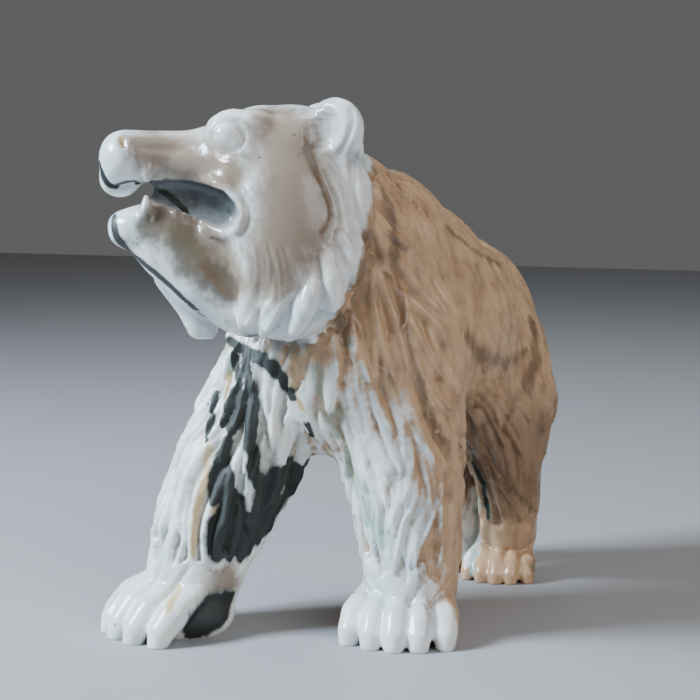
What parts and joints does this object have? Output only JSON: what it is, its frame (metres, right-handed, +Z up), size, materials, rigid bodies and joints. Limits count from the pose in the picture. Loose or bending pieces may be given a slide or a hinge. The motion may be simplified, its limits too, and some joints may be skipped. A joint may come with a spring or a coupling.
{
  "type": "stone bear carving",
  "caption": "Bear carved from one piece of veined calcite, walking with its head turned and its mouth open, standing on its own paws.",
  "frame": {"origin": "middle of the carving's footprint, at the level of its soles", "axes": "-Y is the way the bear walks, +X its left side, +Z up; the head is turned to its right"},
  "size_m": [0.0758, 0.1298, 0.1112],
  "materials": {
    "calcite": "polished translucent white calcite with tan patina and dark green veins"
  },
  "bodies": {
    "root": {"bear": "calcite"}
  },
  "joints": []
}
